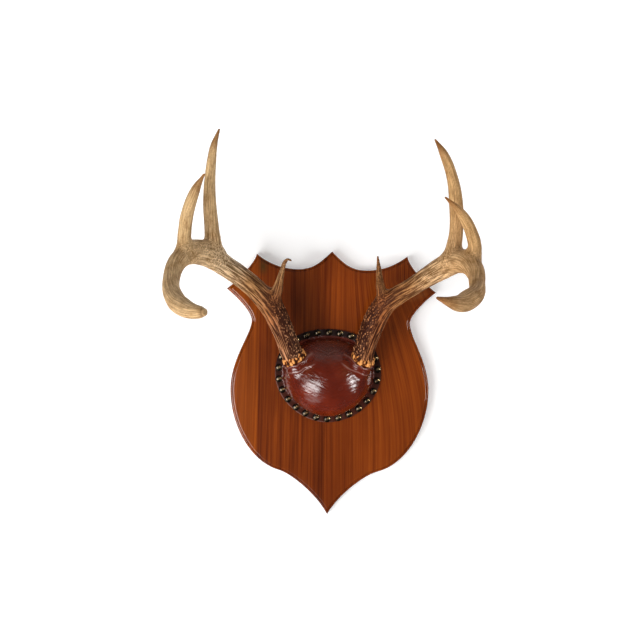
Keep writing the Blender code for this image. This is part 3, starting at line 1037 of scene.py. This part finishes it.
def along_branch(points, line):
    """For each point: its distance outside the branch's skin, its run and its angle."""
    ways, firsts, seconds = frames_along(line["points"])
    nearest = np.empty(len(points), int)
    for start in range(0, len(points), 4000):
        part = points[start : start + 4000]
        apart = np.linalg.norm(part[:, None, :] - line["points"][None, :, :], axis=2)
        nearest[start : start + 4000] = (apart - line["radii"][None, :]).argmin(axis=1)
    apart = points - line["points"][nearest]
    ahead = np.einsum("ij,ij->i", apart, ways[nearest])
    run = line["run"][nearest] + ahead
    across = np.einsum("ij,ij->i", apart, firsts[nearest])
    aside = np.einsum("ij,ij->i", apart, seconds[nearest])
    outside = np.hypot(across, aside) - line["radii"][nearest]
    past = np.maximum(ahead - 0.004, 0.0) + np.maximum(-ahead - 0.004, 0.0)
    return outside + past, run, np.arctan2(aside, across)


def on_circle(angle, radius, height):
    return np.stack((np.cos(angle) * radius, np.sin(angle) * radius, height), axis=1)


def antler_relief(run, angle, inner, seed):
    """The height of the pearls and ridges at a place on a branch, from 0 to 1, and how deep."""
    x, y = np.cos(angle) * RIDGED_RADIUS, np.sin(angle) * RIDGED_RADIUS
    broad = noise_at(np.stack((x / 0.0014 + seed, y / 0.0014, run * 34.0), axis=1))
    fine = noise_at(np.stack((x / 0.0009, y / 0.0009 + seed, run * 80.0), axis=1))
    ridges = ramp_up(-0.12, 0.34, broad * 0.85 + fine * 0.45)
    near = cells_at(np.stack((x / 0.0023, y / 0.0023, run / 0.0036), axis=1) + seed)
    pearls = 1 - ramp_up(0.18, 0.46, near)
    pearled = 1 - ramp_up(PEARLED_LENGTH * 0.62, PEARLED_LENGTH, run)
    pearled *= ramp_up(0.15, 0.75, inner)
    relief = pearls * pearled + ridges * (1 - pearled)
    ridged = 1 - ramp_up(0.13, 0.27, run)
    depth = 0.0008 * pearled + (0.00014 + 0.0005 * ridged) * (1 - pearled)
    contrast = 0.34 + 0.66 * np.maximum(ridged, pearled)
    return 0.5 + (relief - 0.5) * contrast, depth


def refine_foot(mesh, base, reach):
    """Splits the faces near an antler's foot, where its pearls are."""
    shape = shape_of(mesh)
    edges = [edge for edge in shape.edges if (edge.verts[0].co - base).length < reach]
    bmesh.ops.subdivide_edges(shape, edges=edges, cuts=1, use_grid_fill=True)
    put_back(shape, mesh)


def antler_skin(branches, side, seed):
    """The branches and the burr's knobs melted into one skin, and cut flat at the seat."""
    shape = shape_of(settled(branch_curve(branches, side, 1.0)))
    bmesh.ops.remove_doubles(shape, verts=shape.verts, dist=0.00003)
    turn = seat_axis(side).to_track_quat("Z", "Y").to_matrix().to_4x4()
    draw = random.Random(seed)
    for lift, knob, count in BURR_ROWS:
        for number in range(count):
            angle = 2 * math.pi * (number + draw.uniform(-0.28, 0.28)) / count
            reach = BURR_RADIUS + draw.uniform(-0.0007, 0.0006)
            size = knob * draw.uniform(0.72, 1.12)
            spot = Vector((math.cos(angle) * reach, math.sin(angle) * reach, lift))
            spot.z += draw.uniform(-0.0006, 0.0012)
            place = Matrix.Translation(seat(side)) @ turn @ Matrix.Translation(spot)
            bmesh.ops.create_icosphere(shape, subdivisions=3, radius=size, matrix=place)
    mesh = skinned(mesh_of(shape, "antler"), ANTLER_VOXEL, ANTLER_SMOOTHING)
    shape = shape_of(mesh)
    cut = bmesh.ops.bisect_plane(
        shape,
        geom=[*shape.verts, *shape.edges, *shape.faces],
        plane_co=seat(side) + seat_axis(side) * GAP,
        plane_no=seat_axis(side),
        clear_inner=True,
    )
    rim = [item for item in cut["geom_cut"] if isinstance(item, bmesh.types.BMEdge)]
    bmesh.ops.holes_fill(shape, edges=rim, sides=0)
    put_back(shape, mesh)
    return mesh


def measure_branches(points, lines):
    """Each point's distance outside every branch, its run, its angle and its way to the tip."""
    measured = zip(*(along_branch(points, line) for line in lines))
    outside, runs, angles = (np.array(rows) for rows in measured)
    ends = np.array([[9.0 if line["name"] == "web" else line["run"][-1]] for line in lines])
    return outside, runs, angles, ends - runs


def blend_joins(mesh, lines):
    """Melts each tine's root into the beam, with the wide soft webs that antlers have there."""
    points = coordinates_of(mesh)
    outside = measure_branches(points, lines)[0]
    first, second = np.sort(outside, axis=0)[:2]
    fill = JOIN_REACH * np.log1p(np.exp(-(second - first) / JOIN_REACH))
    crease = np.exp(-(((second - first) / (2.5 * JOIN_REACH)) ** 2))
    set_coordinates(mesh, points + normals_of(mesh) * (fill * crease)[:, None])
    shape = shape_of(mesh)
    shape.verts.ensure_lookup_table()
    for reach, times in JOIN_SMOOTHING:
        near = [shape.verts[number] for number in np.flatnonzero(second < reach)]
        for _ in range(times):
            bmesh.ops.smooth_vert(
                shape, verts=near, factor=0.5, use_axis_x=True, use_axis_y=True, use_axis_z=True
            )
    put_back(shape, mesh)


def burr_relief(points, side, seed, above):
    """The height of the burr's knobs, from 0 to 1, and how far each point is the burr's."""
    from_seat = points - np.array(seat(side))
    turn = np.arctan2(*(from_seat @ np.array(across_seat(side)).T).T)
    knobs = cells_at(on_circle(turn, 4.4, above / 0.0062) + seed)
    ragged = 0.0012 * np.sin(turn * 7.0 + seed) + 0.0008 * np.sin(turn * 13.0)
    return 1 - ramp_up(0.3, 0.8, knobs), 1 - ramp_up(0.0082, 0.0104, above + ragged)


def detail_antler(mesh, lines, side, seed, low, high):
    """Raises the pearls and ridges, and stores what the material needs."""
    points = coordinates_of(mesh)
    normals = normals_of(mesh)
    above = (points - np.array(seat(side))) @ np.array(seat_axis(side))
    outside, runs, angles, to_tips = measure_branches(points, lines)
    reliefs = np.zeros(outside.shape)
    depths = np.zeros(outside.shape)
    grains = np.zeros((*outside.shape, 3))
    for number in range(len(lines)):
        close = outside[number] < outside.min(axis=0) + 0.008
        run, angle = runs[number, close], angles[number, close]
        inner = ramp_up(-0.5, 0.6, -side * normals[close, 0])
        raised = antler_relief(run, angle, inner, seed + number)
        reliefs[number, close], depths[number, close] = raised
        grains[number, close] = on_circle(angle, RIDGED_RADIUS, run) + number * 0.37
    shares = np.exp(-(outside - outside.min(axis=0)) / BLEND_REACH)
    shares /= shares.sum(axis=0)
    run = (shares * runs).sum(axis=0)
    relief = (shares * reliefs).sum(axis=0)
    depth = (shares * depths).sum(axis=0)
    main = outside.argmin(axis=0)
    picked = np.arange(len(points))
    to_tip = to_tips[main, picked]
    on_tine = np.array([line["name"] in ("tall_tine", "outer_tine") for line in lines])
    pale = (shares * on_tine[:, None]).sum(axis=0) * ramp_up(0.225, 0.275, run)

    knob, burr = burr_relief(points, side, seed, above)
    relief = relief * (1 - burr) + knob * burr
    depth = depth * (1 - burr) + BURR_DEPTH * burr
    near_tip = 1 - ramp_up(0.0, 0.02, to_tip)
    push = (relief - 0.55) * depth * (1 - 0.8 * near_tip) + 0.0003
    push *= ramp_up(0.0002, 0.0014, above)
    set_coordinates(mesh, np.clip(points + normals * push[:, None], low, high))

    browned = noise_at(points * 38.0 + seed) * 0.05
    tone = ramp_up(0.0, 1.0, run / BROWNED_LENGTH + browned)
    # The side facing out from the antler is given a lighter tone
    outer = 1 - ramp_up(-0.5, 0.6, -side * normals[:, 0])
    add_layer(mesh, "tone", tone + 0.1 * outer * (1 - tone))
    add_layer(mesh, "relief", relief)
    add_layer(mesh, "burr", burr)
    add_layer(mesh, "pale", pale)
    blunt = (main == 0) & (side < 0)
    add_layer(mesh, "tip", (1 - ramp_up(-0.002, 0.044, to_tip)) ** 1.5 * ~blunt)
    add_layer(mesh, "pure", ramp_up(0.75, 1.0, shares.max(axis=0)))
    add_layer(mesh, "stain", worn_marks(points, side, to_tips[0]))
    add_layer(mesh, "grain", grains[main, picked])


def worn_marks(points, side, to_tip):
    """The dark ring at the end of the left hook and the speck on it."""
    if side > 0:
        return np.zeros(len(points))
    ring = np.exp(-(((to_tip - 0.003) / 0.001) ** 2)) * 0.6
    speck = np.exp(-((np.linalg.norm(points - HOOK_SPECK, axis=1) / 0.0022) ** 2)) * 0.8
    return np.maximum(ring, speck)


def make_antler(name, branches, side, seed, material, node):
    mesh = antler_skin(branches, side, seed)
    mesh.name = name
    lines = branch_lines(branches, side)
    blend_joins(mesh, lines)
    refine_foot(mesh, seat(side), FINE_LENGTH)
    detail_antler(mesh, lines, side, seed, *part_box(node))
    antler = add_object(name, mesh)
    dress(antler, material, "antler", node)


# Tacks


def tack_mesh(draw):
    """One tack with a domed head, a little out of true as old ones are."""
    shape = bmesh.new()
    squash = Matrix.Diagonal((TACK_HEAD_RADIUS, TACK_HEAD_HEIGHT, TACK_HEAD_RADIUS, 1.0))
    turn = Matrix.Rotation(math.pi / 2, 4, "X")
    bmesh.ops.create_uvsphere(
        shape, u_segments=28, v_segments=16, radius=1.0, matrix=squash @ turn
    )
    under = [vert for vert in shape.verts if vert.co.y > 0.00001]
    bmesh.ops.delete(shape, geom=under, context="VERTS")
    bmesh.ops.holes_fill(shape, edges=[edge for edge in shape.edges if edge.is_boundary], sides=0)
    offset = draw.uniform(0.0, 50.0)
    for vert in shape.verts:
        spot = vert.co * 520.0 + Vector((offset, 0.0, 0.0))
        share = -vert.co.y / TACK_HEAD_HEIGHT
        vert.co.y += noise.noise(spot) * 0.00013 * share
        vert.co.x += noise.noise(spot + Vector((9.0, 0.0, 0.0))) * 0.00012
        vert.co.z += noise.noise(spot + Vector((0.0, 9.0, 0.0))) * 0.00012
    return mesh_of(shape, "tack")


def make_tacks():
    material = tack_paint()
    draw = random.Random(11)
    for number, point in enumerate(even_ring(TACK_COUNT)):
        tack = add_object(f"dome_tack_{number + 1:02d}", tack_mesh(draw))
        tack.location = ring_in_world(point, LEATHER_FRONT_Y - GAP)
        tilt = Vector((draw.uniform(-0.05, 0.05), 0.0, draw.uniform(-0.05, 0.05)))
        tack.rotation_euler = tilt
        dress(tack, material, "bronze", f"tack_{number + 1:02d}")


# Camera, light and stage


def make_camera():
    camera = bpy.data.objects.new("camera", bpy.data.cameras.new("camera"))
    bpy.context.scene.collection.objects.link(camera)
    camera.data.lens = CAMERA_LENS
    camera.data.sensor_width = CAMERA_SENSOR
    upright = Matrix.Rotation(math.pi / 2, 4, "X")
    roll = Matrix.Rotation(-CAMERA_ROLL, 4, "Y")
    camera.matrix_world = Matrix.Translation(CAMERA_AT) @ roll @ upright
    bpy.context.scene.camera = camera


def add_softbox(name, spot, target, width, height, power, mirrored):
    light = bpy.data.lights.new(name, "AREA")
    light.shape = "RECTANGLE"
    light.size = width
    light.size_y = height
    light.energy = power
    box = add_object(name, light)
    box.location = spot
    box.rotation_euler = (Vector(target) - Vector(spot)).to_track_quat("-Z", "Y").to_euler()
    box.visible_camera = False
    box.visible_glossy = mirrored


def show_either(tree, share, first, second, output):
    """Shows the second shader where the share is 1, and the first where it is 0."""
    either = tree.nodes.new("ShaderNodeMixShader")
    for socket, source in zip(either.inputs, (share, first.outputs[0], second.outputs[0])):
        tree.links.new(source, socket)
    tree.links.new(either.outputs[0], tree.nodes[output].inputs["Surface"])


def make_light():
    for name, row in SOFTBOXES.items():
        add_softbox(name, *row)
    world = bpy.data.worlds.new("studio")
    world.use_nodes = True
    tree = world.node_tree
    seen = tree.nodes["Background"]
    set_inputs(seen, Color=(0.94, 0.94, 0.94, 1.0))
    dim = tree.nodes.new("ShaderNodeBackground")
    set_inputs(dim, Color=(1.0, 1.0, 1.0, 1.0), Strength=0.05)
    rays = tree.nodes.new("ShaderNodeLightPath")
    show_either(tree, rays.outputs["Is Camera Ray"], dim, seen, "World Output")
    bpy.context.scene.world = world


def stage_sheet(name, start, end, material):
    """A sheet as wide as the stage, between two edges whose y and z are given."""
    left, right = -STAGE_HALF_WIDTH, STAGE_HALF_WIDTH
    corners = ((left, *start), (right, *start), (right, *end), (left, *end))
    mesh = bpy.data.meshes.new(name)
    mesh.from_pydata(corners, [], [(0, 1, 2, 3)])
    sheet = add_object(name, mesh)
    mesh.materials.append(material)
    sheet.visible_glossy = False
    return sheet


def make_stage():
    pale = Paint("pale_floor", Base_Color=(0.86, 0.86, 0.85, 1.0), Roughness=0.9)
    stage_sheet("floor", (-FLOOR_REACH, FLOOR_Z), (FLOOR_REACH, FLOOR_Z), pale.material)
    # The wall shows from its front only, so that the plaque can be seen from behind too
    white = Paint("white_wall", Base_Color=(0.93, 0.93, 0.93, 1.0), Roughness=0.9)
    set_inputs(white.shader, Emission_Color=(1.0, 1.0, 1.0, 1.0), Emission_Strength=0.24)
    clear = white.node("BsdfTransparent")
    facing = white.node("NewGeometry").outputs["Backfacing"]
    show_either(white.tree, facing, white.shader, clear, "Material Output")
    wall = stage_sheet("wall", (WALL_Y, FLOOR_Z), (WALL_Y, WALL_TOP), white.material)
    wall.visible_shadow = False


def main():
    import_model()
    bpy.context.scene.view_settings.view_transform = "Standard"
    make_camera()
    make_light()
    make_stage()
    make_board()
    make_cover()
    grey_tan = antler_paint("grey_tan_antler", (1.0, 1.0, 1.0))
    warm_tan = antler_paint("warm_tan_antler", (0.92, 0.82, 0.71))
    make_antler("left_antler", LEFT_BRANCHES, -1, 3, grey_tan, "antler_left")
    make_antler("right_antler", RIGHT_BRANCHES, 1, 8, warm_tan, "antler_right")
    make_tacks()
    bpy.context.view_layer.update()


main()
